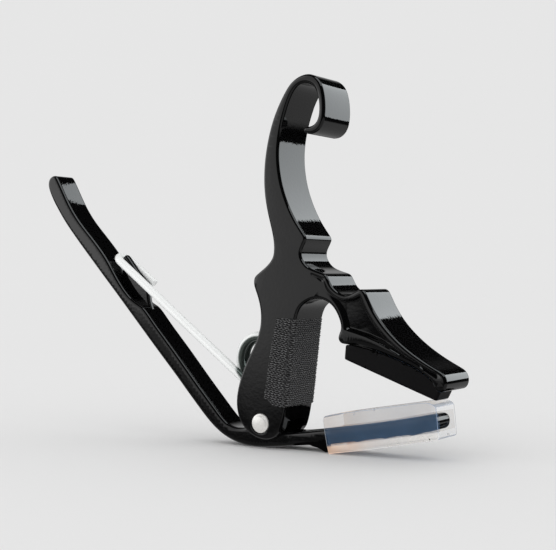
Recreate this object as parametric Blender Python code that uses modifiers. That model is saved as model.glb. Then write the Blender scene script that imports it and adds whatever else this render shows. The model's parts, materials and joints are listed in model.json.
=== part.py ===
"""Spring-clamp guitar capo: two castings, rivet, torsion spring, string pad, neck sleeve and fabric.

Outlines are X, Z in millimetres from the rivet's axis, which runs along Y. X points to the jaws' open end.
"""

import math

import bmesh
import bpy
from mathutils import Matrix, Vector

MM = 0.001
COLLECTION = "guitar_capo"
GAP = 0.30

# Widths along Y
FRAME_WIDTH = 17.0
CLEVIS_GAP = 10.8
LEVER_WIDTH = 10.0
SLEEVE_WIDTH = 13.2
PAD_WIDTH = 8.8
EDGE_RADIUS = 0.8
LEVER_EDGE_RADIUS = 0.9

# Rivet through the clevis
RIVET_HEAD_RADIUS = 3.05
RIVET_HEAD_STEP_RADIUS = 2.35
RIVET_HEAD_HEIGHT = 0.75
RIVET_STEP_HEIGHT = 0.35
RIVET_SHANK_RADIUS = 1.85
RIVET_BORE_RADIUS = 2.15
RIVET_CHAMFER = 0.25
COUNTERBORE_RADIUS = 3.4
COUNTERBORE_DEPTH = 0.7
HUB_RADIUS = 5.0

# Torsion spring
WIRE_RADIUS = 1.35
COIL_CENTRE = (-4.5, 19.5)
COIL_RADIUS = 7.75
COIL_PITCH = 3.18
COIL_TURNS = 2.33
COIL_FIRST_Y = -3.70
LEG_ANGLE = math.radians(232.9)
SEAM_TURNS = 0.72
SEAM_GAP = 0.8
HOOK_CENTRE = (-60.6, 51.35)
HOOK_HALF_GAP = 2.95
HOOK_RETURN_LENGTH = 12.5
BACK_LEG_LENGTH = 17.5
BACK_LEG_BORE_RADIUS = 1.75
BACK_LEG_BORE_LENGTH = 19.0

# Hook lug that stands on the lever's middle plane
LUG_WIDTH = 2.4
LUG_EDGE_RADIUS = 0.7

# Heel's reach across the arm
HEEL_NEAR_Y = -4.9
HEEL_FAR_Y = -3.4

# Fabric on the throat side of the clevis
FABRIC_THICKNESS = 0.45
FABRIC_BOTTOM = 5.6
FABRIC_TOP = 33.3
FABRIC_CORNER_RADIUS = 1.3

# Largest turn between neighbouring points of a curved outline
CURVE_TURN = math.radians(15)

# Frame casting, clockwise from the curl's tip
CURL_OUTSIDE = [(15.8, 91.2), (17.6, 90.3), (19.7, 90.4), (21.6, 91.5), (23.0, 93.6), (23.6, 97.0),
                (23.5, 100.5), (22.5, 105.2), (20.6, 107.7), (17.8, 109.0), (14.2, 108.6), (10.9, 106.6),
                (8.3, 102.9), (6.2, 99.2), (4.4, 95.2), (2.9, 90.2)]
SPINE = [(1.7, 84.4), (1.2, 78.5), (1.3, 73.6), (1.9, 69.4), (3.4, 63.3), (4.7, 58.9), (5.1, 55.6),
         (4.6, 52.4), (2.6, 49.8), (-0.2, 47.9), (-2.3, 46.2), (-2.6, 43.6), (-1.5, 41.0)]
CHEEK = [(-0.5, 38.6), (0.2, 34.5), (-0.1, 30.0), (-1.9, 25.3), (-4.9, 20.1), (-7.4, 14.6), (-9.0, 9.2),
         (-9.3, 4.9), (-8.1, 0.5), (-5.3, -2.9), (-1.6, -4.8), (2.1, -5.2), (5.2, -4.2), (7.5, -2.0),
         (8.6, 1.4), (9.2, 4.4)]
THROAT = [(9.9, 9.0), (10.6, 15.0), (11.8, 25.0), (12.6, 31.0), (13.3, 34.4), (14.6, 36.9), (16.8, 38.6),
          (19.5, 39.6), (22.2, 39.5), (24.8, 38.5), (26.8, 36.7), (28.2, 34.3), (29.0, 31.8), (28.9, 30.0),
          (28.2, 28.7), (28.1, 27.2), (29.2, 26.0), (31.0, 25.9)]
JAW_UNDERSIDE = [(36.0, 25.0), (41.5, 23.5), (46.5, 21.9), (51.0, 20.1), (56.5, 17.6), (59.2, 15.6),
                 (60.1, 13.9), (61.3, 12.8), (62.9, 13.0), (63.9, 14.4), (64.0, 16.4), (62.9, 18.3)]
JAW_TOP = [(60.2, 19.7), (57.1, 21.3), (54.2, 23.0), (51.0, 25.1), (47.6, 27.8), (44.3, 30.9), (41.7, 34.0),
           (39.7, 37.1), (38.3, 40.0), (37.3, 41.9), (35.9, 42.6), (34.4, 42.1)]
FINGER_NOTCHES = [(32.7, 41.1), (30.2, 40.7), (27.6, 41.8), (25.7, 43.5), (24.9, 45.2), (23.8, 47.0),
                  (22.3, 47.6), (20.8, 47.9), (17.8, 49.0), (15.8, 50.9), (14.9, 53.0), (15.2, 54.9),
                  (16.4, 56.8), (16.8, 58.3), (16.1, 59.6), (14.9, 61.1), (13.2, 63.3), (11.1, 67.1),
                  (9.5, 70.6), (7.9, 75.2), (6.9, 80.6)]
CURL_INSIDE = [(6.6, 85.5), (7.3, 91.0), (8.1, 94.6), (9.3, 98.1), (10.7, 101.9), (12.5, 104.7),
               (14.8, 106.1), (17.4, 106.1), (19.5, 104.9), (21.0, 102.1), (21.5, 98.9), (21.2, 95.6),
               (20.2, 93.7), (18.5, 92.7), (16.4, 92.5)]

# Clevis slot: open at the spine and at the bottom, closed by a web on the throat side
SLOT = [(-20.0, -12.0), (16.0, -12.0), (16.0, 1.0), (7.4, 1.0), (6.8, 2.2), (8.0, 14.0), (8.9, 26.0),
        (8.2, 29.0), (5.8, 31.2), (2.0, 32.0), (-20.0, 32.0)]
# Triangular pocket in each side of the jaw arm
POCKET = [(25.0, 42.4), (27.2, 40.2), (30.4, 39.0), (33.6, 39.6), (35.6, 39.6), (38.0, 35.4), (41.2, 31.0),
          (44.8, 27.2), (47.0, 25.1), (44.0, 25.2), (38.0, 27.1), (32.6, 28.9), (31.9, 31.0), (31.7, 33.6),
          (30.0, 37.0), (26.8, 40.0), (24.4, 41.6)]
POCKET_DEPTH = 1.3

# Lever casting
LEVER_OUTSIDE = [(-90.2, 82.2), (-91.9, 81.3), (-92.6, 79.0), (-91.4, 75.4), (-88.3, 70.6), (-84.6, 65.5),
                 (-80.2, 60.5), (-75.6, 55.5), (-71.0, 50.6), (-66.4, 45.7), (-61.8, 40.9), (-57.3, 36.1),
                 (-52.9, 31.4), (-48.6, 26.8), (-44.2, 22.1), (-39.9, 17.6), (-35.6, 13.1), (-31.5, 8.6),
                 (-27.3, 4.1), (-23.2, -0.2), (-20.2, -2.9), (-17.4, -4.9), (-14.4, -6.3), (-11.2, -7.4)]
FLOOR = -8.15
BELLY = [(-7.0, FLOOR), (-4.6, FLOOR - 0.1), (-2.2, FLOOR)]
ARM_UNDERSIDE = [(3.0, -7.7), (8.0, -7.1), (13.0, -6.4), (17.2, -6.1), (20.5, -6.0), (24.6, -5.1),
                 (27.0, -4.7), (34.0, -3.5), (42.0, -2.1), (50.1, -0.7), (56.0, 0.5), (58.6, 1.3),
                 (59.4, 2.8), (59.2, 4.7), (57.8, 5.7)]
ARM_TOP = [(54.0, 4.9), (50.1, 4.1), (40.2, 2.1), (30.0, 0.3), (22.0, -0.9), (15.8, -1.9), (10.4, -2.6),
           (6.6, -2.3), (5.2, -0.4)]
HUB_LEFT = [(-4.6, 2.0), (-5.6, -0.4), (-8.0, -2.2)]
LEVER_INSIDE = [(-11.6, -2.5), (-14.8, -1.5), (-17.3, 0.6), (-20.6, 4.2), (-27.5, 11.6), (-35.9, 21.0),
                (-42.6, 28.2), (-45.8, 31.7), (-48.2, 34.7), (-49.9, 36.2), (-52.0, 37.0), (-54.9, 38.8),
                (-58.0, 41.9), (-60.6, 45.2), (-62.8, 48.4), (-64.4, 50.9), (-65.8, 52.9), (-68.4, 55.8),
                (-73.1, 60.7), (-78.1, 65.7), (-82.2, 71.0), (-85.3, 76.3), (-88.0, 81.0), (-88.8, 82.0)]
LUG = [(-53.0, 34.5), (-60.5, 42.5), (-61.6, 46.0), (-61.8, 50.4), (-61.4, 52.5), (-60.9, 53.4),
       (-60.2, 53.8), (-59.3, 53.3), (-57.0, 50.6), (-54.2, 47.4), (-51.1, 44.3), (-50.3, 42.0),
       (-50.0, 38.8), (-49.2, 36.0), (-48.4, 33.6), (-50.2, 31.4)]
# Heel under the near side of the arm, just behind the sleeve's end
HEEL = [(14.5, -5.0), (16.6, -6.3), (19.0, -6.8), (21.0, -7.6), (22.3, -8.0), (22.7, -7.6), (22.7, -5.0)]

# Pad under the upper jaw, and sleeve on the lever's arm
PAD = [(28.5, 25.4), (28.1, 21.0), (33.0, 19.2), (45.0, 14.8), (58.9, 9.75), (60.3, 12.4), (59.4, 13.9),
       (58.6, 15.0), (56.3, 17.1), (51.0, 19.7), (46.5, 21.5), (41.5, 23.1), (36.0, 24.6), (31.0, 25.6)]
SLEEVE = [(23.7, FLOOR), (34.4, -6.4), (44.4, -4.6), (54.2, -2.7), (60.4, -1.3), (60.8, -0.6), (60.5, 2.6),
          (59.9, 8.2), (58.7, 9.1), (56.8, 9.5), (54.2, 9.2), (44.4, 7.5), (34.4, 5.8), (25.4, 4.2),
          (22.2, 3.4), (21.7, 2.7), (22.4, -2.0)]
SLEEVE_BORE = [(19.0, -7.0), (24.0, -5.55), (34.0, -3.75), (42.0, -2.45), (50.1, -1.05), (56.0, 0.1),
               (64.0, 1.9), (63.0, 7.4), (57.4, 6.2), (50.1, 4.65), (40.2, 2.55), (30.0, 0.75),
               (19.0, -1.0)]

# Fabric's edge on the cheeks: everything left of this line is bare
FABRIC_EDGE = [(-20.0, -10.0), (9.0, 3.0), (8.0, 5.5), (5.6, 5.8), (3.4, 6.8), (1.7, 8.3), (2.6, 13.8),
               (4.1, 22.6), (5.9, 32.0), (6.4, 40.0), (-20.0, 40.0)]
THROAT_FACE_FOOT = 9.5
THROAT_FACE_LEAN = 0.12


def clear_scene():
    for obj in list(bpy.data.objects):
        bpy.data.objects.remove(obj, do_unlink=True)


def collection_named(name):
    collection = bpy.data.collections.new(name)
    bpy.context.scene.collection.children.link(collection)
    return collection


def material(name, colour, metallic, roughness):
    made = bpy.data.materials.new(name)
    made.use_nodes = True
    shader = made.node_tree.nodes["Principled BSDF"]
    shader.inputs["Base Color"].default_value = (*colour, 1.0)
    shader.inputs["Metallic"].default_value = metallic
    shader.inputs["Roughness"].default_value = roughness
    return made


def turn_between(a, b, c):
    first = math.atan2(b[1] - a[1], b[0] - a[0])
    second = math.atan2(c[1] - b[1], c[0] - b[0])
    return abs((second - first + math.pi) % (2 * math.pi) - math.pi)


def between(low, high, at, a, b):
    """The point at the place from low to high on the line through a and b."""
    return a * ((high - at) / (high - low)) + b * ((at - low) / (high - low))


def span_point(p0, p1, p2, p3, t):
    """A point of the centripetal spline between p1 and p2."""
    a, b, c, d = Vector(p0), Vector(p1), Vector(p2), Vector(p3)
    knots = [0.0]
    for start, end in ((a, b), (b, c), (c, d)):
        knots.append(knots[-1] + math.sqrt((end - start).length))
    at = knots[1] + (knots[2] - knots[1]) * t
    first = between(knots[0], knots[1], at, a, b)
    second = between(knots[1], knots[2], at, b, c)
    third = between(knots[2], knots[3], at, c, d)
    lower = between(knots[0], knots[2], at, first, second)
    upper = between(knots[1], knots[3], at, second, third)
    return between(knots[1], knots[2], at, lower, upper)


def rounded_loop(points):
    """A closed smooth curve through the points, split more finely where it turns."""
    loop = []
    count = len(points)
    for i in range(count):
        p0, p1, p2, p3 = (points[(i + k - 1) % count] for k in range(4))
        turn = max(turn_between(p0, p1, p2), turn_between(p1, p2, p3))
        steps = max(1, min(6, math.ceil(turn / CURVE_TURN)))
        for step in range(steps):
            loop.append(tuple(span_point(p0, p1, p2, p3, step / steps)))
    return loop


def new_object(name, mesh, collection):
    obj = bpy.data.objects.new(name, mesh)
    collection.objects.link(obj)
    return obj


def prism(name, outline, low_y, high_y, collection):
    """A closed body whose outline in X and Z runs from low_y to high_y."""
    work = bmesh.new()
    near = [work.verts.new((x * MM, low_y * MM, z * MM)) for x, z in outline]
    far = [work.verts.new((x * MM, high_y * MM, z * MM)) for x, z in outline]
    work.faces.new(near)
    work.faces.new(list(reversed(far)))
    for i in range(len(outline)):
        k = (i + 1) % len(outline)
        work.faces.new((near[k], near[i], far[i], far[k]))
    bmesh.ops.recalc_face_normals(work, faces=work.faces)
    mesh = bpy.data.meshes.new(name)
    work.to_mesh(mesh)
    work.free()
    return new_object(name, mesh, collection)


def cylinder(name, centre, radius, low_y, high_y, collection, segments=24):
    outline = []
    for i in range(segments):
        angle = 2 * math.pi * i / segments
        outline.append((centre[0] + radius * math.cos(angle), centre[1] + radius * math.sin(angle)))
    return prism(name, outline, low_y, high_y, collection)


def bevel(obj, width, segments=2, angle=40):
    made = obj.modifiers.new("edges", "BEVEL")
    made.width = width * MM
    made.segments = segments
    made.limit_method = "ANGLE"
    made.angle_limit = math.radians(angle)
    made.harden_normals = False


def boolean(obj, other, operation):
    made = obj.modifiers.new(other.name, "BOOLEAN")
    made.operation = operation
    made.solver = "EXACT"
    made.object = other


def hide_cutter(obj):
    obj.hide_render = True
    obj.display_type = "WIRE"


def cut(obj, cutter):
    hide_cutter(cutter)
    boolean(obj, cutter, "DIFFERENCE")


def finish(obj, look):
    obj.data.materials.append(look)
    for polygon in obj.data.polygons:
        polygon.use_smooth = True
    obj.data.set_sharp_from_angle(angle=math.radians(35))


def build_frame(parts, cutters, look):
    outline = rounded_loop(
        CURL_OUTSIDE[::-1] + CURL_INSIDE[::-1] + FINGER_NOTCHES[::-1] + JAW_TOP[::-1]
        + JAW_UNDERSIDE[::-1] + THROAT[::-1] + CHEEK[::-1] + SPINE[::-1]
    )
    half = FRAME_WIDTH / 2
    frame = prism("frame_casting", outline, -half, half, parts)
    bevel(frame, EDGE_RADIUS)
    gap = CLEVIS_GAP / 2
    cut(frame, prism("slot_cutter", SLOT, -gap, gap, cutters))
    pocket = rounded_loop(POCKET)
    cut(frame, prism("near_pocket_cutter", pocket, -half - 2, -half + POCKET_DEPTH, cutters))
    cut(frame, prism("far_pocket_cutter", pocket, half - POCKET_DEPTH, half + 2, cutters))
    cut(frame, cylinder("frame_bore_cutter", (0, 0), RIVET_BORE_RADIUS, -half - 2, half + 2, cutters))
    floor = half - COUNTERBORE_DEPTH
    cut(frame, cylinder("near_counterbore_cutter", (0, 0), COUNTERBORE_RADIUS, -half - 2, -floor, cutters, 32))
    cut(frame, cylinder("far_counterbore_cutter", (0, 0), COUNTERBORE_RADIUS, floor, half + 2, cutters, 32))
    start, direction = back_leg_line()
    bore = [start, start + direction * BACK_LEG_BORE_LENGTH]
    cut(frame, tube("back_leg_bore_cutter", bore, BACK_LEG_BORE_RADIUS, cutters))
    finish(frame, look)
    return frame


def build_lever(parts, cutters, look):
    hub = []
    for degrees in range(20, 150, 30):
        hub.append((HUB_RADIUS * math.cos(math.radians(degrees)), HUB_RADIUS * math.sin(math.radians(degrees))))
    outline = rounded_loop(LEVER_OUTSIDE + BELLY + ARM_UNDERSIDE + ARM_TOP + hub + HUB_LEFT + LEVER_INSIDE)
    outline = [(x, max(z, FLOOR)) for x, z in outline]
    half = LEVER_WIDTH / 2
    lever = prism("lever_casting", outline, -half, half, parts)
    bevel(lever, LEVER_EDGE_RADIUS)
    lug = prism("lug", LUG, -LUG_WIDTH / 2, LUG_WIDTH / 2, cutters)
    bevel(lug, LUG_EDGE_RADIUS)
    hide_cutter(lug)
    boolean(lever, lug, "UNION")
    heel = prism("heel", HEEL, HEEL_NEAR_Y, HEEL_FAR_Y, cutters)
    hide_cutter(heel)
    boolean(lever, heel, "UNION")
    cut(lever, cylinder("hub_bore_cutter", (0, 0), RIVET_BORE_RADIUS, -half - 2, half + 2, cutters))
    finish(lever, look)
    return lever


def build_rivet(parts, look):
    """A turned rivet: two stepped heads on one shank."""
    top = FRAME_WIDTH / 2 - COUNTERBORE_DEPTH + GAP
    shoulder = top + RIVET_HEAD_HEIGHT
    crown = shoulder + RIVET_STEP_HEIGHT
    profile = [
        (0.0, -crown),
        (RIVET_HEAD_STEP_RADIUS - RIVET_CHAMFER, -crown),
        (RIVET_HEAD_STEP_RADIUS, -shoulder),
        (RIVET_HEAD_RADIUS - RIVET_CHAMFER, -shoulder),
        (RIVET_HEAD_RADIUS, -shoulder + RIVET_CHAMFER),
        (RIVET_HEAD_RADIUS, -top),
        (RIVET_SHANK_RADIUS, -top),
    ]
    profile += [(radius, -y) for radius, y in reversed(profile)]
    segments = 32
    work = bmesh.new()
    rings = []
    for radius, y in profile:
        if radius == 0:
            rings.append([work.verts.new((0, y * MM, 0))])
            continue
        ring = []
        for i in range(segments):
            angle = 2 * math.pi * i / segments
            ring.append(work.verts.new((radius * MM * math.cos(angle), y * MM, radius * MM * math.sin(angle))))
        rings.append(ring)
    for low, high in zip(rings, rings[1:]):
        for i in range(segments):
            k = (i + 1) % segments
            corners = [low[i % len(low)], low[k % len(low)], high[k % len(high)], high[i % len(high)]]
            work.faces.new(list(dict.fromkeys(corners)))
    bmesh.ops.recalc_face_normals(work, faces=work.faces)
    mesh = bpy.data.meshes.new("pivot_rivet")
    work.to_mesh(mesh)
    work.free()
    rivet = new_object("pivot_rivet", mesh, parts)
    finish(rivet, look)
    return rivet


def coil_point(turns):
    """A point of the coil's centre line, counted in turns from the hooked leg."""
    angle = LEG_ANGLE + 2 * math.pi * turns
    x = COIL_CENTRE[0] + COIL_RADIUS * math.cos(angle)
    z = COIL_CENTRE[1] + COIL_RADIUS * math.sin(angle)
    return Vector((x, COIL_FIRST_Y + COIL_PITCH * turns, z))


def back_leg_line():
    """Where the coil ends, and the direction of the leg that leaves it."""
    angle = LEG_ANGLE + 2 * math.pi * COIL_TURNS
    return coil_point(COIL_TURNS), Vector((-math.sin(angle), 0, math.cos(angle)))


def tube(name, centres, radius, collection, sides=10):
    """A capped tube whose rings turn as little as possible from one to the next."""
    tangents = []
    for i in range(len(centres)):
        before = centres[max(i - 1, 0)]
        after = centres[min(i + 1, len(centres) - 1)]
        tangents.append((after - before).normalized())
    normal = tangents[0].orthogonal().normalized()
    work = bmesh.new()
    rings = []
    for i, (centre, tangent) in enumerate(zip(centres, tangents)):
        if i:
            normal = tangents[i - 1].rotation_difference(tangent) @ normal
        normal = (normal - tangent * normal.dot(tangent)).normalized()
        side = tangent.cross(normal)
        ring = []
        for k in range(sides):
            angle = 2 * math.pi * k / sides
            away = normal * math.cos(angle) + side * math.sin(angle)
            ring.append(work.verts.new((centre + away * radius) * MM))
        rings.append(ring)
    for low, high in zip(rings, rings[1:]):
        for k in range(sides):
            m = (k + 1) % sides
            work.faces.new((low[k], low[m], high[m], high[k]))
    work.faces.new(list(reversed(rings[0])))
    work.faces.new(rings[-1])
    bmesh.ops.recalc_face_normals(work, faces=work.faces)
    mesh = bpy.data.meshes.new(name)
    work.to_mesh(mesh)
    work.free()
    return new_object(name, mesh, collection)


def hook_points():
    """The leg's hook, from the free end of its return to the leg."""
    centre = Vector((HOOK_CENTRE[0], 0, HOOK_CENTRE[1]))
    start = coil_point(0)
    along = Vector((HOOK_CENTRE[0] - start.x, 0, HOOK_CENTRE[1] - start.z)).normalized()
    points = [centre - along * HOOK_RETURN_LENGTH + Vector((0, HOOK_HALF_GAP, 0))]
    for i in range(9):
        angle = math.pi * i / 8
        sideways = Vector((0, math.cos(angle), 0))
        points.append(centre + (along * math.sin(angle) + sideways) * HOOK_HALF_GAP)
    return points


def build_spring(parts, cutters, look):
    steps_per_turn = 20
    end = SEAM_TURNS
    count = round(end * steps_per_turn)
    leg = hook_points() + [coil_point(end * i / count) for i in range(count + 1)]
    hooked = tube("spring_hooked_leg", leg, WIRE_RADIUS, parts)
    finish(hooked, look)
    begin = SEAM_TURNS + SEAM_GAP / (2 * math.pi * COIL_RADIUS)
    count = round((COIL_TURNS - begin) * steps_per_turn)
    coil = [coil_point(begin + (COIL_TURNS - begin) * i / count) for i in range(count + 1)]
    start, direction = back_leg_line()
    coil.append(start + direction * BACK_LEG_LENGTH)
    wound = tube("spring_coil", coil, WIRE_RADIUS, parts)
    finish(wound, look)
    return hooked, wound


def build_pad(parts, look):
    half = PAD_WIDTH / 2
    pad = prism("string_pad", PAD, -half, half, parts)
    bevel(pad, 0.35, 1, 30)
    finish(pad, look)
    return pad


def build_sleeve(parts, cutters, look):
    half = SLEEVE_WIDTH / 2
    sleeve = prism("neck_sleeve", SLEEVE, -half, half, parts)
    bevel(sleeve, 0.5, 2, 40)
    bore = LEVER_WIDTH / 2 + GAP
    cut(sleeve, prism("sleeve_bore_cutter", SLEEVE_BORE, -bore, bore, cutters))
    finish(sleeve, look)
    return sleeve


def fabric_section():
    """The fabric's U in plan: X from the throat face, Y across the frame."""
    inner = FRAME_WIDTH / 2 + GAP
    outer = inner + FABRIC_THICKNESS
    reach = -14.0
    section = [(reach, -outer)]
    for layer, side, turned in ((outer, -1, 1), (outer, 1, 1), (inner, 1, -1), (inner, -1, -1)):
        radius = FABRIC_CORNER_RADIUS if layer == outer else FABRIC_CORNER_RADIUS - FABRIC_THICKNESS
        face = layer - FRAME_WIDTH / 2
        centre = (face - radius, side * (layer - radius))
        angles = [side * math.radians(a) for a in (90, 60, 30, 0)]
        if (side == 1) == (turned == 1):
            angles.reverse()
        corner = [(centre[0] + radius * math.cos(a), centre[1] + radius * math.sin(a)) for a in angles]
        if layer == inner and side == 1:
            section += [(reach, outer), (reach, inner)]
        section += corner
    section.append((reach, -inner))
    return section


def build_fabric(parts, cutters, look):
    section = fabric_section()
    work = bmesh.new()
    rings = []
    levels = 4
    for i in range(levels + 1):
        z = FABRIC_BOTTOM + (FABRIC_TOP - FABRIC_BOTTOM) * i / levels
        face = THROAT_FACE_FOOT + THROAT_FACE_LEAN * (z - FABRIC_BOTTOM)
        rings.append([work.verts.new(((face + x) * MM, y * MM, z * MM)) for x, y in section])
    for low, high in zip(rings, rings[1:]):
        for i in range(len(section)):
            k = (i + 1) % len(section)
            work.faces.new((low[i], low[k], high[k], high[i]))
    work.faces.new(rings[0])
    work.faces.new(list(reversed(rings[-1])))
    bmesh.ops.recalc_face_normals(work, faces=work.faces)
    mesh = bpy.data.meshes.new("throat_fabric")
    work.to_mesh(mesh)
    work.free()
    fabric = new_object("throat_fabric", mesh, parts)
    cut(fabric, prism("fabric_edge_cutter", FABRIC_EDGE, -20, 20, cutters))
    finish(fabric, look)
    return fabric


def stand_on_floor(objects):
    """Moves everything so that the lowest point is at Z 0 and the whole is centred on X 0, Y 0."""
    graph = bpy.context.evaluated_depsgraph_get()
    points = []
    for obj in objects:
        if obj.hide_render:
            continue
        points += [obj.matrix_world @ Vector(corner) for corner in obj.evaluated_get(graph).bound_box]
    low = [min(p[i] for p in points) for i in range(3)]
    high = [max(p[i] for p in points) for i in range(3)]
    shift = Matrix.Translation((-(low[0] + high[0]) / 2, -(low[1] + high[1]) / 2, -low[2]))
    for obj in bpy.data.objects:
        obj.matrix_world = shift @ obj.matrix_world
    return shift.translation


def main():
    clear_scene()
    parts = collection_named(COLLECTION)
    cutters = collection_named("cutters")
    black_enamel = material("black_enamel", (0.012, 0.012, 0.013), 0.0, 0.12)
    bright_wire = material("bright_spring_wire", (0.78, 0.80, 0.78), 1.0, 0.22)
    rivet_steel = material("rivet_steel", (0.72, 0.71, 0.69), 1.0, 0.28)
    pad_rubber = material("pad_rubber", (0.012, 0.011, 0.012), 0.0, 0.75)
    clear_vinyl = material("clear_vinyl", (0.78, 0.84, 0.90), 0.0, 0.3)
    knit_fabric = material("knit_fabric", (0.02, 0.02, 0.021), 0.0, 0.95)
    build_frame(parts, cutters, black_enamel)
    build_lever(parts, cutters, black_enamel)
    build_rivet(parts, rivet_steel)
    build_spring(parts, cutters, bright_wire)
    build_pad(parts, pad_rubber)
    build_sleeve(parts, cutters, clear_vinyl)
    build_fabric(parts, cutters, knit_fabric)
    stand_on_floor(parts.objects)


main()
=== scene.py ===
"""Looks of a spring-clamp guitar capo, on a pale studio floor.

Outlines are X, Z in millimetres from the rivet's axis. X points to the jaws' open end, and Y runs along the rivet.
"""

import json
import math

import bpy
import numpy as np
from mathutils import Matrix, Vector
from mathutils.geometry import delaunay_2d_cdt


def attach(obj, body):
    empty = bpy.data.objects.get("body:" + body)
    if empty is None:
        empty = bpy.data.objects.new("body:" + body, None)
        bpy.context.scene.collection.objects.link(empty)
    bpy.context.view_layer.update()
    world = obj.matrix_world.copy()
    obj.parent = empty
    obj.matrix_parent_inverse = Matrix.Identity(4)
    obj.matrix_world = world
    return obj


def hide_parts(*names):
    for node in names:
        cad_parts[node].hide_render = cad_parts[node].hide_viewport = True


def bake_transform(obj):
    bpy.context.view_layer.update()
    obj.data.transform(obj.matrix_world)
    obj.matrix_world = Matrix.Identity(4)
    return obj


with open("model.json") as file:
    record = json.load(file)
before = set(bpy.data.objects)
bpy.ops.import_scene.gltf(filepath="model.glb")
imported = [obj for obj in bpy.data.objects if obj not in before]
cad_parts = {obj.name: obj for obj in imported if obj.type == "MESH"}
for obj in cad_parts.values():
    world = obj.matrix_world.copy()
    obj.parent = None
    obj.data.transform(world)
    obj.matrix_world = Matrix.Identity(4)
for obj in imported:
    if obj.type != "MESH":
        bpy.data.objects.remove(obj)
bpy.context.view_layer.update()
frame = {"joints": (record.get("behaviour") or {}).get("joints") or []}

MM = 0.001
JOINTS = {joint["name"]: joint for joint in frame["joints"]}
PIVOT = Vector(JOINTS["lever_pivot"]["pos_m"])
SCENE = bpy.context.scene
VIEW_TURN = math.radians(32)
SOFTBOX_COLOUR = (0.93, 0.98, 1.0)

FRAME_HALF = 8.5
CLEVIS_HALF = 5.4
LEVER_HALF = 5.0
SLEEVE_HALF = 6.6
SLEEVE_ENDS = (22.0, 61.0)
BORE_CLEARANCE = 0.3
PAD_HALF = 4.4
LUG_HALF = 1.2
HEEL_HALF = 0.75
HEEL_Y = -4.15
LEVER_ROLL = 1.0
LUG_ROLL = 0.95
HEEL_ROLL = 0.25
SLEEVE_ROLL = 0.4
PAD_ROLL = 0.5
COUNTERBORE_RADIUS = 3.35
COUNTERBORE_DEPTH = 0.7

CURL_OUTSIDE = [(15.8, 91.2), (17.6, 90.3), (19.7, 90.4), (21.6, 91.5), (23.0, 93.6), (23.6, 97.0), (23.5, 100.5),
                (22.5, 105.2), (20.6, 107.7), (17.8, 109.0), (14.2, 108.6), (10.9, 106.6), (8.3, 102.9),
                (6.2, 99.2), (4.4, 95.2), (2.9, 90.2)]
SPINE = [(1.7, 84.4), (1.2, 78.5), (1.3, 73.6), (1.9, 69.4), (3.4, 63.3), (4.7, 58.9), (5.1, 55.6), (4.6, 52.4),
         (2.6, 49.8), (-0.2, 47.9), (-2.3, 46.2), (-2.6, 43.6), (-1.5, 41.0)]
CHEEK = [(-0.5, 38.6), (0.2, 34.5), (-0.1, 30.0), (-1.9, 25.3), (-4.9, 20.1), (-7.4, 14.6), (-9.0, 9.2),
         (-9.3, 4.9), (-8.1, 0.5), (-5.3, -2.9), (-1.6, -4.8), (2.1, -5.2), (5.2, -4.2), (7.5, -2.0), (8.6, 1.4),
         (9.2, 4.4)]
THROAT = [(9.9, 9.0), (10.6, 15.0), (11.8, 25.0), (12.6, 31.0), (13.3, 34.4), (14.6, 36.9), (16.8, 38.6),
          (19.5, 39.6), (22.2, 39.5), (24.8, 38.5), (26.8, 36.7), (28.2, 34.3), (29.0, 31.8), (28.9, 30.0),
          (28.2, 28.7), (28.1, 27.2), (29.2, 26.0), (31.0, 25.9)]
JAW_UNDERSIDE = [(36.0, 25.0), (41.5, 23.5), (46.5, 21.9), (51.0, 20.1), (56.5, 17.6), (59.2, 15.6), (60.1, 13.9),
                 (61.3, 12.8), (62.9, 13.0), (63.9, 14.4), (64.0, 16.4), (62.9, 18.3)]
JAW_TOP = [(60.2, 19.7), (57.1, 21.3), (54.2, 23.0), (51.0, 25.1), (47.6, 27.8), (44.3, 30.9), (41.7, 34.0),
           (39.7, 37.1), (38.3, 40.0), (37.3, 41.9), (35.9, 42.6), (34.4, 42.1)]
FINGER_NOTCHES = [(32.7, 41.1), (30.2, 40.7), (27.6, 41.8), (25.7, 43.5), (24.9, 45.2), (23.8, 47.0), (22.3, 47.6),
                  (20.8, 47.9), (17.8, 49.0), (15.8, 50.9), (14.9, 53.0), (15.2, 54.9), (16.4, 56.8), (16.8, 58.3),
                  (16.1, 59.6), (14.9, 61.1), (13.2, 63.3), (11.1, 67.1), (9.5, 70.6), (7.9, 75.2), (6.9, 80.6)]
CURL_INSIDE = [(6.6, 85.5), (7.3, 91.0), (8.1, 94.6), (9.3, 98.1), (10.7, 101.9), (12.5, 104.7), (14.8, 106.1),
               (17.4, 106.1), (19.5, 104.9), (21.0, 102.1), (21.5, 98.9), (21.2, 95.6), (20.2, 93.7), (18.5, 92.7),
               (16.4, 92.5)]
SLOT = [(-20.0, -12.0), (16.0, -12.0), (16.0, 1.0), (7.4, 1.0), (6.8, 2.2), (8.0, 14.0), (8.9, 26.0), (8.2, 29.0),
        (5.8, 31.2), (2.0, 32.0), (-20.0, 32.0)]
RECESS_FOOT = [(29.2, 29.9), (31.0, 29.75), (33.3, 29.2), (38.0, 27.9), (42.0, 26.4), (46.0, 24.4), (50.5, 21.9),
               (56.0, 19.2), (61.0, 16.4)]
RECESS_DEPTH = 1.3
RECESS_LEAN = 0.042
DIMPLE = [(19.0, 46.95), (21.0, 46.15), (22.6, 45.2)]

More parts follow.
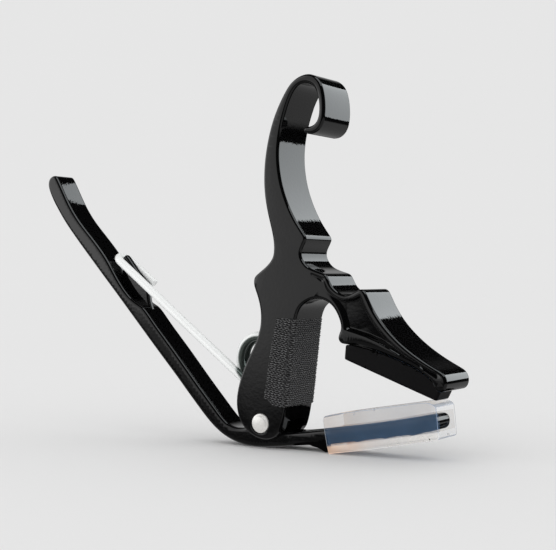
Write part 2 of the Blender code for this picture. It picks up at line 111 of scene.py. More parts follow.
FLOOR = -8.15
LEVER_OUTSIDE = [(-90.2, 82.2), (-91.9, 81.3), (-92.6, 79.0), (-91.4, 75.4), (-88.3, 70.6), (-84.6, 65.5),
                 (-80.2, 60.5), (-75.6, 55.5), (-71.0, 50.6), (-66.4, 45.7), (-61.8, 40.9), (-57.3, 36.1),
                 (-52.9, 31.4), (-48.6, 26.8), (-44.2, 22.1), (-39.9, 17.6), (-35.6, 13.1), (-31.5, 8.6),
                 (-27.3, 4.1), (-23.2, -0.2), (-20.2, -2.9), (-17.4, -4.9), (-14.4, -6.3), (-11.2, -7.4)]
BELLY = [(-7.0, FLOOR), (-4.6, FLOOR - 0.1), (-2.2, FLOOR)]
ARM_UNDERSIDE = [(3.0, -7.7), (8.0, -7.1), (13.0, -6.4), (17.2, -6.1), (20.5, -6.0), (24.6, -5.1), (27.0, -4.7),
                 (34.0, -3.5), (42.0, -2.1), (50.1, -0.7), (56.0, 0.5), (58.6, 1.3), (59.4, 2.8), (59.2, 4.7),
                 (57.8, 5.7)]
ARM_TOP = [(54.0, 4.9), (50.1, 4.1), (40.2, 2.1), (30.0, 0.3), (22.0, -0.9), (15.8, -1.9), (10.4, -2.6),
           (6.6, -2.3), (5.2, -0.4)]
HUB_RADIUS = 5.0
NUBS = (32.6, 42.1, 51.1)
HUB_LEFT = [(-4.6, 2.0), (-5.6, -0.4), (-8.0, -2.2)]
LEVER_INSIDE = [(-11.6, -2.5), (-14.8, -1.5), (-17.3, 0.6), (-20.6, 4.2), (-27.5, 11.6), (-35.9, 21.0),
                (-42.6, 28.2), (-45.8, 31.7), (-48.2, 34.7), (-49.9, 36.2), (-52.0, 37.0), (-54.9, 38.8),
                (-58.0, 41.9), (-60.6, 45.2), (-62.8, 48.4), (-64.4, 50.9), (-65.8, 52.9), (-68.4, 55.8),
                (-73.1, 60.7), (-78.1, 65.7), (-82.2, 71.0), (-85.3, 76.3), (-88.0, 81.0), (-88.8, 82.0)]
LUG = [(-53.0, 34.5), (-60.5, 42.5), (-61.6, 46.0), (-61.8, 50.4), (-61.4, 52.5), (-60.9, 53.4), (-60.2, 53.8),
       (-59.3, 53.3), (-57.0, 50.6), (-54.2, 47.4), (-51.1, 44.3), (-50.3, 42.0), (-50.0, 38.8), (-49.2, 36.0),
       (-48.4, 33.6), (-50.2, 31.4)]
# Heel under the near side of the arm, just behind the sleeve's end
HEEL = [(14.5, -5.0), (16.6, -6.3), (19.0, -6.8), (21.0, -7.6), (22.3, -8.0), (22.7, -7.6), (22.7, -5.0)]

PAD = [(28.5, 25.4), (28.1, 21.0), (33.0, 19.2), (45.0, 14.8), (58.9, 9.75), (60.3, 12.4), (59.4, 13.9),
       (58.6, 15.0), (56.3, 17.1), (51.0, 19.7), (46.5, 21.5), (41.5, 23.1), (36.0, 24.6), (31.0, 25.6)]
SLEEVE = [(23.7, FLOOR), (34.4, -6.4), (44.4, -4.6), (54.2, -2.7), (60.4, -1.3), (60.8, -0.6), (60.5, 2.6),
          (59.9, 8.2), (58.7, 9.1), (56.8, 9.5), (54.2, 9.2), (44.4, 7.5), (34.4, 5.8), (25.4, 4.2), (22.2, 3.4),
          (21.7, 2.7), (22.4, -2.0)]
SLEEVE_BORE = [(19.0, -7.0), (24.0, -5.55), (34.0, -3.75), (42.0, -2.45), (50.1, -1.05), (56.0, 0.1), (64.0, 1.9),
               (63.0, 7.4), (57.4, 6.2), (50.1, 4.65), (40.2, 2.55), (30.0, 0.75), (19.0, -1.0)]

WIRE_RADIUS = 1.38
COIL_CENTRE = (-4.5, 19.5)
COIL_RADIUS = 7.75
COIL_PITCH = 3.18
COIL_TURNS = 2.33
COIL_FIRST_Y = -3.70
LEG_ANGLE = math.radians(232.9)
HOOK_CENTRE = (-60.6, 51.35)
HOOK_HALF_GAP = 2.95
HOOK_RETURN_LENGTH = 12.5
BACK_LEG_LENGTH = 17.5

THROAT_FACE_FOOT = 9.5
THROAT_FACE_LEAN = 0.12


# ---------------------------------------------------------------- outlines

def spline_span(quad, pieces):
    """Points from quad[1] up to quad[2] on the centripetal spline through the four points."""
    knots = [0.0]
    for a, b in zip(quad, quad[1:]):
        knots.append(knots[-1] + math.sqrt(np.linalg.norm(b - a)))
    t = np.linspace(knots[1], knots[2], pieces, endpoint=False)[:, None]

    def between(low, high, a, b):
        return a * ((high - t) / (high - low)) + b * ((t - low) / (high - low))

    first = between(knots[0], knots[1], quad[0], quad[1])
    second = between(knots[1], knots[2], quad[1], quad[2])
    third = between(knots[2], knots[3], quad[2], quad[3])
    lower = between(knots[0], knots[2], first, second)
    upper = between(knots[1], knots[3], second, third)
    return between(knots[1], knots[2], lower, upper)


def dense_loop(points, step):
    """Points a step apart along the closed spline through the points."""
    points = np.array(points, float)
    count = len(points)
    spans = []
    for i in range(count):
        quad = [points[(i + k - 1) % count] for k in range(4)]
        spans.append(spline_span(quad, max(4, int(np.linalg.norm(quad[2] - quad[1]) / step * 2))))
    return even_loop(np.concatenate(spans), step)


def dense_line(points, pieces=6):
    """A smooth open line through the points."""
    points = np.array(points, float)
    ends = [2 * points[0] - points[1], *points, 2 * points[-1] - points[-2]]
    spans = [spline_span(ends[i:i + 4], pieces) for i in range(len(ends) - 3)]
    return np.concatenate(spans + [points[-1:]])


def polygon_loop(points, step):
    """Points a step apart along the closed polygon through the given points."""
    return even_loop(np.array(points, float), step)


def even_loop(loop, step):
    closed = np.vstack([loop, loop[:1]])
    along = np.concatenate([[0.0], np.cumsum(np.linalg.norm(np.diff(closed, axis=0), axis=1))])
    count = max(8, int(round(along[-1] / step)))
    at = np.linspace(0, along[-1], count, endpoint=False)
    return np.column_stack([np.interp(at, along, closed[:, k]) for k in range(2)])


def counterclockwise(loop):
    x, z = loop[:, 0], loop[:, 1]
    area = np.sum(x * np.roll(z, -1) - np.roll(x, -1) * z)
    return loop if area > 0 else loop[::-1].copy()


def turning(loop, window=1):
    """Signed turn per unit length at each point, positive where the outline is convex."""
    before = loop - np.roll(loop, window, axis=0)
    after = np.roll(loop, -window, axis=0) - loop
    cross = before[:, 0] * after[:, 1] - before[:, 1] * after[:, 0]
    dot = (before * after).sum(axis=1)
    length = (np.linalg.norm(before, axis=1) + np.linalg.norm(after, axis=1)) / 2
    return np.arctan2(cross, dot) / length


def smeared(values, passes):
    for _ in range(passes):
        values = (np.roll(values, 1, axis=0) + values * 2 + np.roll(values, -1, axis=0)) / 4
    return values


def faired(loop, least=0.35, most=2.6, share=0.22, rounds=220):
    """Evens out the curvature, more on gentle stretches than on tight corners."""
    step = np.linalg.norm(loop[1] - loop[0])
    bend = smeared(np.abs(turning(loop, 3)), 12)
    reach = np.clip(share / np.maximum(bend, 1e-4), least, most)
    reach = np.minimum(reach, smeared(reach, 60))
    weight = np.minimum(reach ** 2 / (step ** 2 * rounds), 0.9)[:, None]
    for _ in range(rounds):
        loop = loop + weight * ((np.roll(loop, 1, axis=0) + np.roll(loop, -1, axis=0)) / 2 - loop)
    return loop


def outward(loop):
    tangent = np.roll(loop, -1, axis=0) - np.roll(loop, 1, axis=0)
    tangent /= np.linalg.norm(tangent, axis=1)[:, None]
    return np.column_stack([tangent[:, 1], -tangent[:, 0]])


def roomy(loop, radius, inward=True):
    """How far each point can move towards the inside without its neighbours crossing."""
    bend = turning(loop, 2) if inward else -turning(loop, 2)
    bend = smeared(np.maximum(bend, 0), 3)
    room = np.minimum(radius, 0.8 / np.maximum(bend, 1e-6))
    for _ in range(30):
        room = np.minimum(room, smeared(room, 1))
    return room[:, None]


def circle(centre, radius, count):
    angles = np.linspace(0, 2 * math.pi, count, endpoint=False)
    return np.column_stack([centre[0] + radius * np.cos(angles), centre[1] + radius * np.sin(angles)])


# ---------------------------------------------------------------- meshes

def mesh_object(name, points, faces):
    """A mesh object from points in metres."""
    mesh = bpy.data.meshes.new(name)
    mesh.from_pydata(points, [], faces)
    obj = bpy.data.objects.new(name, mesh)
    SCENE.collection.objects.link(obj)
    return obj


def new_mesh(name, points, faces):
    """A mesh object from points in millimetres from the rivet's axis."""
    placed = np.array(points, float) * MM + np.array(PIVOT)
    obj = mesh_object(name, placed.tolist(), faces)
    obj.data.validate()
    return obj


def ring_faces(low, high, flip):
    count = len(low)
    faces = []
    for i in range(count):
        k = (i + 1) % count
        quad = (low[i], low[k], high[k], high[i])
        faces.append(quad[::-1] if flip else quad)
    return faces


class Body:
    """Points and faces gathered for one mesh."""

    def __init__(self):
        self.points = []
        self.faces = []

    def ring(self, loop, y):
        start = len(self.points)
        y = np.broadcast_to(y, len(loop))
        self.points += [(x, yy, z) for (x, z), yy in zip(loop, y)]
        return list(range(start, start + len(loop)))

    def join(self, low, high, flip=False):
        self.faces += ring_faces(low, high, flip)

    def cap(self, rings, flip, grid=None, sink=None):
        """A face between one outer ring and any inner ones. The grid's points inside it sink in by sink(points)."""
        flat = [i for ring in rings for i in ring]
        level = self.points[flat[0]][1]
        spots = [(self.points[i][0], self.points[i][2]) for i in flat]
        edges = []
        start = 0
        loops = []
        for ring in rings:
            count = len(ring)
            edges += [(start + i, start + (i + 1) % count) for i in range(count)]
            loops.append(np.array(spots[start:start + count]))
            start += count
        if grid is not None:
            inner = grid[inside(grid, loops, 0.12)]
            depth = sink(inner)
            for (x, z), d in zip(inner, depth):
                flat.append(len(self.points))
                spots.append((x, z))
                self.points.append((x, level - math.copysign(d, level), z))
        made = delaunay_2d_cdt([Vector(spot) for spot in spots], edges, [], 0, 1e-6)
        verts = np.array([tuple(v) for v in made[0]])
        triangles = np.array(made[2])
        for k in range(len(spots), len(verts)):
            flat.append(len(self.points))
            self.points.append((verts[k][0], level, verts[k][1]))
        corners = verts[triangles]
        keep = inside(corners.mean(axis=1), loops, 0)
        a, b, c = corners[:, 0], corners[:, 1], corners[:, 2]
        area = (b[:, 0] - a[:, 0]) * (c[:, 1] - a[:, 1]) - (c[:, 0] - a[:, 0]) * (b[:, 1] - a[:, 1])
        for triangle, size in zip(triangles[keep], area[keep]):
            face = [flat[i] for i in triangle]
            if (size > 0) == flip:
                face.reverse()
            self.faces.append(tuple(face))


def inside(points, loops, clear):
    """Whether each point is in the first loop and out of the others, and clear of them all."""
    result = np.ones(len(points), bool)
    for number, loop in enumerate(loops):
        a, b = loop, np.roll(loop, -1, axis=0)
        x, z = points[:, :1], points[:, 1:]
        spans = (a[:, 1] > z) != (b[:, 1] > z)
        rise = np.where(b[:, 1] == a[:, 1], 1e-12, b[:, 1] - a[:, 1])
        crossing = a[:, 0] + (z - a[:, 1]) * (b[:, 0] - a[:, 0]) / rise
        odd = (spans & (x < crossing)).sum(axis=1) % 2 == 1
        result &= odd if number == 0 else ~odd
        if clear:
            result &= distance(points, loop) > clear
    return result


def distance(points, line):
    """How far each point is from the nearest point of a line."""
    nearest = np.full(len(points), 1e9)
    for a, b in zip(line, line[1:]):
        along = b - a
        t = np.clip(((points - a) @ along) / (along @ along), 0, 1)[:, None]
        nearest = np.minimum(nearest, np.linalg.norm(points - a - t * along, axis=1))
    return nearest


def plate(name, loop, half, radius, pockets=(), steps=5, grid=None, sink=None):
    """A body of one counterclockwise outline with rounded edges, of one radius or one for each point.

    pockets are (loop, depth, edge radius, floor radius) in both sides.
    """
    out = outward(loop)
    radius = np.broadcast_to(radius, len(loop))
    room = roomy(loop, radius)
    body = Body()
    turns = [math.pi / 2 * k / steps for k in range(steps + 1)]
    near = []
    far = []
    for t in turns:
        inset = loop - out * room * (1 - math.cos(t))
        rise = half - radius + radius * math.sin(t)
        near.append(body.ring(inset, -rise))
        far.append(body.ring(inset, rise))
    body.join(near[0], far[0], flip=True)
    for a, b in zip(near, near[1:]):
        body.join(a, b)
    for a, b in zip(far, far[1:]):
        body.join(a, b, flip=True)
    for side, edge, flip in ((-1, near[-1], False), (1, far[-1], True)):
        holes = []
        for pocket, depth, rim, fillet in pockets:
            holes.append(sunk(body, counterclockwise(pocket), side, half, depth, rim, fillet))
        body.cap([edge] + holes, flip, grid, sink)
    return new_mesh(name, body.points, body.faces)


def sunk(body, loop, side, half, depth, rim, fillet, steps=4):
    """The walls and floor of a pocket. Returns its ring on the flat side."""
    out = outward(loop)
    outside = roomy(loop, rim, inward=False)
    inside = roomy(loop, fillet)
    rings = []
    for k in range(steps + 1):
        t = math.pi / 2 * k / steps
        rings.append(body.ring(loop + out * outside * (1 - math.sin(t)), side * (half - rim * (1 - math.cos(t)))))
    for k in range(steps + 1):
        t = math.pi / 2 * k / steps
        level = depth - fillet + fillet * math.sin(t)
        rings.append(body.ring(loop - out * inside * (1 - math.cos(t)), side * (half - level)))
    for a, b in zip(rings, rings[1:]):
        body.join(a, b, flip=side > 0)
    body.cap([rings[-1]], side > 0)
    return rings[0]


def tube(name, centres, radius, sides=18, chamfer=0.12):
    """A capped wire along the centres, with its cut ends slightly broken."""
    centres = [Vector(c) for c in centres]
    tangents = []
    for i in range(len(centres)):
        tangents.append((centres[min(i + 1, len(centres) - 1)] - centres[max(i - 1, 0)]).normalized())
    normal = tangents[0].orthogonal().normalized()
    frames = []
    for i, (centre, tangent) in enumerate(zip(centres, tangents)):
        if i:
            normal = tangents[i - 1].rotation_difference(tangent) @ normal
        normal = (normal - tangent * normal.dot(tangent)).normalized()
        frames.append((centre, tangent, normal, tangent.cross(normal), radius))
    first, last = frames[0], frames[-1]
    frames.insert(1, (first[0] + first[1] * chamfer, *first[1:]))
    frames[0] = (*first[:4], radius - chamfer)
    frames.insert(len(frames) - 1, (last[0] - last[1] * chamfer, *last[1:]))
    frames[-1] = (*last[:4], radius - chamfer)
    points = []
    faces = []
    for centre, _, normal, side, size in frames:
        for k in range(sides):
            angle = 2 * math.pi * k / sides
            points.append(tuple(centre + (normal * math.cos(angle) + side * math.sin(angle)) * size))
    for i in range(len(frames) - 1):
        low = [i * sides + k for k in range(sides)]
        high = [(i + 1) * sides + k for k in range(sides)]
        faces += ring_faces(low, high, False)
    faces.append(tuple(reversed(range(sides))))
    faces.append(tuple(range(len(points) - sides, len(points))))
    return new_mesh(name, points, faces)


def lathe(name, profile, segments=64):
    """A body turned about the rivet's axis from (radius, y) points."""
    points = []
    rings = []
    for radius, y in profile:
        if radius == 0:
            rings.append([len(points)])
            points.append((0, y, 0))
            continue
        rings.append(list(range(len(points), len(points) + segments)))
        for k in range(segments):
            angle = 2 * math.pi * k / segments
            points.append((radius * math.cos(angle), y, radius * math.sin(angle)))
    faces = []
    for low, high in zip(rings, rings[1:]):
        for k in range(segments):
            m = (k + 1) % segments
            corners = [low[k % len(low)], high[k % len(high)], high[m % len(high)], low[m % len(low)]]
            faces.append(tuple(dict.fromkeys(corners)))
    return new_mesh(name, points, faces)


def applied(obj):
    """Makes the object's modifiers part of its mesh."""
    graph = bpy.context.evaluated_depsgraph_get()
    mesh = bpy.data.meshes.new_from_object(obj.evaluated_get(graph))
    obj.modifiers.clear()
    obj.data = mesh
    return obj


def boolean(obj, other, operation):
    made = obj.modifiers.new(other.name, "BOOLEAN")
    made.operation = operation
    made.solver = "EXACT"
    made.object = other
    bpy.context.view_layer.update()
    applied(obj)
    bpy.data.objects.remove(other)


def prism(name, loop, half):
    body = Body()
    loop = counterclockwise(np.array(loop, float))
    near = body.ring(loop, -half)
    far = body.ring(loop, half)
    body.join(near, far, flip=True)
    body.cap([near], False)
    body.cap([far], True)
    return new_mesh(name, body.points, body.faces)


def dress(obj, look, body, nodes=(), sharp=32):
    """Smooth shading, material and body of a finished piece; hides the CAD parts it stands in for."""
    obj.data.materials.clear()
    obj.data.materials.append(look)
    obj.data.polygons.foreach_set("use_smooth", [True] * len(obj.data.polygons))
    obj.data.set_sharp_from_angle(angle=math.radians(sharp))
    weighted = obj.modifiers.new("even_normals", "WEIGHTED_NORMAL")
    weighted.keep_sharp = True
    weighted.weight = 60
    applied(obj)
    if body:
        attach(obj, body)
    if nodes:
        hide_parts(*nodes)
    return obj


# ---------------------------------------------------------------- materials

class Graph:
    """Short names for building a node tree."""

    def __init__(self, tree):
        self.tree = tree

    def node(self, kind, *inputs, **settings):
        """A node with its inputs filled in order. An input of None is left alone."""
        made = self.tree.nodes.new("ShaderNode" + kind)
        for name, value in settings.items():
            setattr(made, name, value)
        for number, value in enumerate(inputs):
            self.fill(made.inputs[number], value)
        return made

    def fill(self, socket, value):
        if hasattr(value, "node"):
            self.tree.links.new(value, socket)
        elif value is not None:
            socket.default_value = value

    def maths(self, operation, *values):
        return self.node("Math", *values, operation=operation).outputs[0]

    def ramp(self, value, low, high, out_low=0.0, out_high=1.0, smooth=False):
        kind = "SMOOTHSTEP" if smooth else "LINEAR"
        return self.node("MapRange", value, low, high, out_low, out_high, interpolation_type=kind).outputs[0]

    def noise(self, where, scale, detail=2.0, roughness=0.5):
        made = self.node("TexNoise")
        for name, value in (("Vector", where), ("Scale", scale), ("Detail", detail), ("Roughness", roughness)):
            self.fill(made.inputs[name], value)
        return made.outputs["Fac"]

    def mix(self, factor, a, b):
        made = self.node("Mix", data_type="RGBA")
        self.fill(made.inputs[0], factor)
        for number, colour in ((6, a), (7, b)):
            self.fill(made.inputs[number], colour if hasattr(colour, "node") else (*colour, 1.0))
        return made.outputs[2]


class Look(Graph):
    """A material on one Principled shader."""

    def __init__(self, name):
        self.material = bpy.data.materials.new(name)
        self.material.use_nodes = True
        super().__init__(self.material.node_tree)
        self.shader = self.tree.nodes["Principled BSDF"]
        self.where = self.node("TexCoord").outputs["Object"]

    def set(self, **values):
        for name, value in values.items():
            self.fill(self.shader.inputs[name.replace("_", " ")], value)

    def bump(self, height, distance, strength=1.0):
        made = self.node("Bump")
        for name, value in (("Height", height), ("Distance", distance), ("Strength", strength)):
            self.fill(made.inputs[name], value)
        self.set(Normal=made.outputs[0])
        return made.outputs[0]


def enamel():
    """Deep gloss black enamel over a casting: orange peel, slightly uneven gloss."""
    n = Look("black_enamel")
    peel = n.noise(n.where, 950, 2, 0.55)
    drift = n.noise(n.where, 170, 1)
    height = n.maths("MULTIPLY_ADD", drift, 1.1, peel)
    gloss = n.ramp(n.noise(n.where, 600, 3), 0.35, 0.7, 0.02, 0.05)
    colour = n.mix(n.noise(n.where, 45, 3), (0.0012, 0.0012, 0.0013), (0.0024, 0.0024, 0.0026))
    n.set(Base_Color=colour, Roughness=gloss, IOR=1.5)
    n.bump(height, 0.000012)
    return n.material


def wire_metal():
    """Bright plated spring wire: fine drawing lines and a slight green cast in the plating. Its underside and the
    inside of the coil are painted darker, as painted shade.
    """
    n = Look("bright_spring_wire")
    lines = n.noise(n.where, 2600, 2)
    colour = n.mix(n.noise(n.where, 220, 4), (0.95, 0.975, 0.96), (1.0, 1.0, 1.0))
    axis = tuple(PIVOT + Vector((COIL_CENTRE[0], 0, COIL_CENTRE[1])) * MM)
    away = n.node("VectorMath", n.where, axis, operation="SUBTRACT").outputs[0]
    flat = n.node("VectorMath", away, (1, 0, 1), operation="MULTIPLY").outputs[0]
    radius = n.node("VectorMath", flat, operation="LENGTH").outputs["Value"]
    # inner marks the inside of the coil: painted shade, with a darker colour and more metallic there
    inner = n.ramp(radius, 0.0083, 0.0073, smooth=True)
    # under marks the downward faces: painted shade, with a darker colour there
    under = n.ramp(n.node("SeparateXYZ", n.node("TexCoord").outputs["Normal"]).outputs[2], -0.5, -0.95, smooth=True)
    colour = n.mix(n.maths("MULTIPLY", under, 0.6), colour, (0.30, 0.33, 0.31))
    colour = n.mix(inner, colour, (0.16, 0.19, 0.175))
    metallic = n.ramp(inner, 0.0, 1.0, 0.06, 0.8)
    n.set(Base_Color=colour, Metallic=metallic, Roughness=n.ramp(lines, 0.3, 0.7, 0.3, 0.42))
    n.bump(lines, 0.000004, 0.5)
    return n.material


def rivet_metal():
    """Satin rivet steel, with hammer dimples on the formed head."""
    n = Look("rivet_steel")
    dimples = n.noise(n.where, 1100, 3)
    colour = n.mix(n.noise(n.where, 1500, 3), (0.84, 0.82, 0.78), (0.99, 0.98, 0.96))
    n.set(Base_Color=colour, Metallic=0.4, Roughness=n.ramp(dimples, 0.3, 0.7, 0.28, 0.45))
    n.bump(dimples, 0.00005, 0.7)
    return n.material


def rubber():
    """Matt black rubber: fine moulded grain and a faint dusty bloom."""
    n = Look("pad_rubber")
    grain = n.noise(n.where, 3500, 3)
    colour = n.mix(n.noise(n.where, 150, 4), (0.0012, 0.0009, 0.0015), (0.0026, 0.0021, 0.003))
    n.set(Base_Color=colour, Roughness=n.ramp(grain, 0.3, 0.7, 0.36, 0.5), Specular_IOR_Level=0.2)
    n.bump(grain, 0.00003, 0.6)
    return n.material


def vinyl():
    """Clear soft vinyl gone milky: it scatters blue, and what shows through it turns warm.

    Its rounded edges are painted paler and more solid, a painted reflection of the light the edges bend, and the
    edges of the end towards the rivet carry a near-white painted highlight.
    Below the bar the near face is milky, and peach towards the rivet; that layer is brightened there as painted
    light against the shaded floor seen through it.
    Both end faces are nearly clear, and so is the far side close to the open end. The rest of the far side is a
    little clearer than the near.
    """
    n = Look("clear_vinyl")
    facing = n.node("SeparateXYZ", n.node("TexCoord").outputs["Normal"]).outputs
    along, across, height = n.node("SeparateXYZ", n.where).outputs
    left, right = (PIVOT.x + x * MM for x in SLEEVE_ENDS)
    position = n.ramp(along, left, right)
    cloud = n.noise(n.where, 130, 3)
    streak = n.noise(n.node("Mapping", n.where, None, None, (0.2, 1.0, 1.0)).outputs[0], 900, 3)
    size = [n.maths("ABSOLUTE", part) for part in facing]
    flattest = n.maths("MAXIMUM", n.maths("MAXIMUM", size[0], size[1]), size[2])
    behind = n.maths("MULTIPLY", n.ramp(across, 0.0045, 0.0055), n.ramp(position, 0.12, 0.06))
    # edge marks the rounded edges: painted paler and more solid, a painted reflection of the light the edges bend
    edge = n.maths("MULTIPLY", n.ramp(flattest, 0.955, 0.86, smooth=True), n.ramp(behind, 0.0, 1.0, 1.0, 0.0))
    end = n.ramp(facing[0], 0.75, 0.9, smooth=True)
    # butt marks the edges of the end towards the rivet: a near-white painted highlight
    butt = n.maths("MULTIPLY", edge, n.ramp(facing[0], -0.15, -0.4, smooth=True))
    body = n.mix(streak, (0.085, 0.165, 0.30), (0.14, 0.26, 0.46))
    body = n.mix(n.maths("MULTIPLY", edge, 0.7), body, (0.36, 0.46, 0.62))
    body = n.mix(butt, body, (0.62, 0.66, 0.70))
    slope = 0.178
    bar_line = PIVOT.z - 9.6 * MM - slope * PIVOT.x
    under_bar = n.maths("SUBTRACT", height, n.maths("MULTIPLY", along, slope))
    outer_face = n.ramp(n.maths("ABSOLUTE", across), 0.0058, 0.0062)
    # foot marks the near face below the bar: a brighter milky peach layer, partly the vinyl's own milkiness and
    # partly painted light against the shaded floor behind
    foot = n.maths("MULTIPLY", n.ramp(under_bar, bar_line, bar_line - 0.6 * MM), outer_face)
    body = n.mix(foot, body, n.mix(n.ramp(position, 0.0, 0.5, smooth=True), (0.95, 0.65, 0.48), (0.84, 0.86, 0.88)))
    n.set(Base_Color=body, Roughness=n.ramp(cloud, 0.3, 0.7, 0.18, 0.3), IOR=1.45)
    n.bump(n.noise(n.where, 420, 2), 0.00003)
    warm = n.mix(n.ramp(position, 0.0, 0.3, smooth=True), (0.97, 0.885, 0.80), (0.985, 0.955, 0.92))
    far_end = n.maths("MULTIPLY", n.ramp(across, 0.0055, 0.006), n.ramp(position, 0.72, 0.84, smooth=True))
    bare = n.maths("MAXIMUM", far_end, end)
    lower = n.ramp(height, PIVOT.z - 2.5 * MM, PIVOT.z - 4.5 * MM, smooth=True)
    peach = n.maths("MULTIPLY", lower, n.ramp(position, 0.4, 0.0, smooth=True))
    warm = n.mix(peach, warm, (0.94, 0.80, 0.68))
    butt_face = n.ramp(facing[0], -0.8, -0.9)
    bare = n.maths("MAXIMUM", bare, butt_face)
    bare = n.maths("MAXIMUM", bare, n.ramp(across, 0.0, 0.002, 0.0, 0.25))
    tint = n.mix(bare, warm, (1.0, 1.0, 1.0))
    clear = n.node("BsdfTransparent", tint)
    milk = n.maths("MULTIPLY", n.ramp(cloud, 0.3, 0.7, 0.17, 0.22), n.ramp(bare, 0.0, 1.0, 1.0, 0.12))
    share = n.maths("ADD", milk, n.maths("MULTIPLY", edge, 0.38))
    share = n.maths("ADD", share, n.maths("MULTIPLY", foot, n.ramp(position, 0.0, 0.6, 0.4, 0.08)))
    share = n.maths("ADD", share, n.maths("MULTIPLY", butt, 0.35))
    mixed = n.node("MixShader", share, clear.outputs[0], n.shader.outputs[0])
    n.tree.links.new(mixed.outputs[0], n.tree.nodes["Material Output"].inputs["Surface"])
    return n.material


def knit():
    """Charcoal looped knit with fibre fuzz. Its raised loop tips are painted pale, a painted highlight, and the
    ground between them stays dark, painted shade. The mesh carries the yarns.
    """
    n = Look("knit_fabric")
    relief = n.node("Attribute", attribute_name="relief").outputs["Fac"]
    fibre = n.noise(n.where, 5200, 4, 0.65)
    # tip and lit: raised loop tips painted pale as a painted highlight; the ground between them stays dark as
    # painted shade
    tip = n.ramp(relief, 0.15, 0.85, smooth=True)
    lit = n.maths("MULTIPLY", tip, n.ramp(n.noise(n.where, 2100, 3), 0.35, 0.65, 0.25, 1.3))
    colour = n.mix(lit, (0.007, 0.007, 0.0073), (0.16, 0.16, 0.163))
    n.set(Base_Color=colour, Roughness=0.85, Specular_IOR_Level=0.2, Sheen_Weight=0.12, Sheen_Roughness=0.5)
    n.bump(fibre, 0.00005, 0.8)
    return n.material


def studio_paper():
    n = Look("studio_paper")
    tint = n.mix(n.noise(n.where, 3, 2), (0.80, 0.80, 0.80), (0.81, 0.81, 0.81))
    n.set(Base_Color=tint, Roughness=0.95, Specular_IOR_Level=0.0)
    n.bump(n.noise(n.where, 4000, 2), 0.00001, 0.1)
    return n.material


# ---------------------------------------------------------------- pieces

def frame_loop():
    points = (CURL_OUTSIDE[::-1] + CURL_INSIDE[::-1] + FINGER_NOTCHES[::-1] + JAW_TOP[::-1]
              + JAW_UNDERSIDE[::-1] + THROAT[::-1] + CHEEK[::-1] + SPINE[::-1])
    return counterclockwise(faired(dense_loop(points, 0.3)))


def smooth(value):
    value = np.clip(value, 0, 1)
    return value * value * (3 - 2 * value)


def side_recess(points):
    """How deep the side of the jaw's web lies below the flange on its top and the roll along its foot."""
    top = dense_line(JAW_TOP + FINGER_NOTCHES[:5])
    arch = dense_line(THROAT)
    x, z = points[:, 0], points[:, 1]
    rim = np.interp(x, [32, 36, 46, 54, 60], [1.15, 1.6, 1.5, 1.05, 0.95])
    wall = np.interp(x, [32, 37, 46, 54], [0.9, 1.3, 1.1, 0.6])
    full = np.interp(x, [22.0, 31.0, 44.0, 52.0, 61.0, 62.5], [0.0, 1.0, 1.0, 0.42, 0.3, 0.0]) * RECESS_DEPTH
    above = z - np.interp(x, [p[0] for p in RECESS_FOOT], [p[1] for p in RECESS_FOOT])
    from_arch = distance(points, arch)
    depth = full * smooth((distance(points, top) - rim) / wall) * smooth(above / 1.5)
    depth *= (0.8 + 0.2 * smooth(from_arch / 10)) * smooth((from_arch - 0.95) / 1.8)
    depth *= 1 + np.clip((32 - z) * RECESS_LEAN, -0.4, 0.4)
    dimple = distance(points, np.array(DIMPLE))
    taper = np.interp(x, [18.8, 22.4, 23.2], [0.3, 1.0, 0.0])
    return np.maximum(depth, 0.3 * taper * np.exp(-(dimple / 0.42) ** 2))


def edge_radius(loop):
    """The frame's edge rounding: one radius all round, and a full roll along the foot of the jaw's web."""
    along = smooth((loop[:, 0] - 31.0) / 3.0) * smooth((60.5 - loop[:, 0]) / 8)
    return 0.9 + 1.0 * smeared(along * (outward(loop)[:, 1] < -0.3) * (loop[:, 1] < 30), 12)


def build_frame(look):
    seat = circle((0, 0), COUNTERBORE_RADIUS, 72)
    x, z = np.meshgrid(np.arange(17.0, 63.2, 0.22), np.arange(15.0, 49.0, 0.22))
    grid = np.column_stack([x.ravel(), z.ravel()])
    near = [side_recess(grid + np.array(step)) for step in ((0, 0), (0.5, 0), (-0.5, 0), (0, 0.5), (0, -0.5))]
    grid = grid[np.maximum.reduce(near) > 1e-4]
    loop = frame_loop()
    pockets = [(seat, COUNTERBORE_DEPTH, 0.15, 0.1)]
    body = plate("frame_body", loop, FRAME_HALF, edge_radius(loop), pockets, grid=grid, sink=side_recess)
    boolean(body, prism("slot_cutter", SLOT, CLEVIS_HALF), "DIFFERENCE")
    return dress(body, look, "frame", ["frame_casting"])


def lattice(loop, step=1.1):
    """Evenly spaced points over the outline's box, to keep a flat face's shading even."""
    low, high = loop.min(axis=0), loop.max(axis=0)
    x, z = np.meshgrid(np.arange(low[0], high[0], step), np.arange(low[1], high[1], step))
    return np.column_stack([x.ravel(), z.ravel()])


def level(points):
    return np.zeros(len(points))


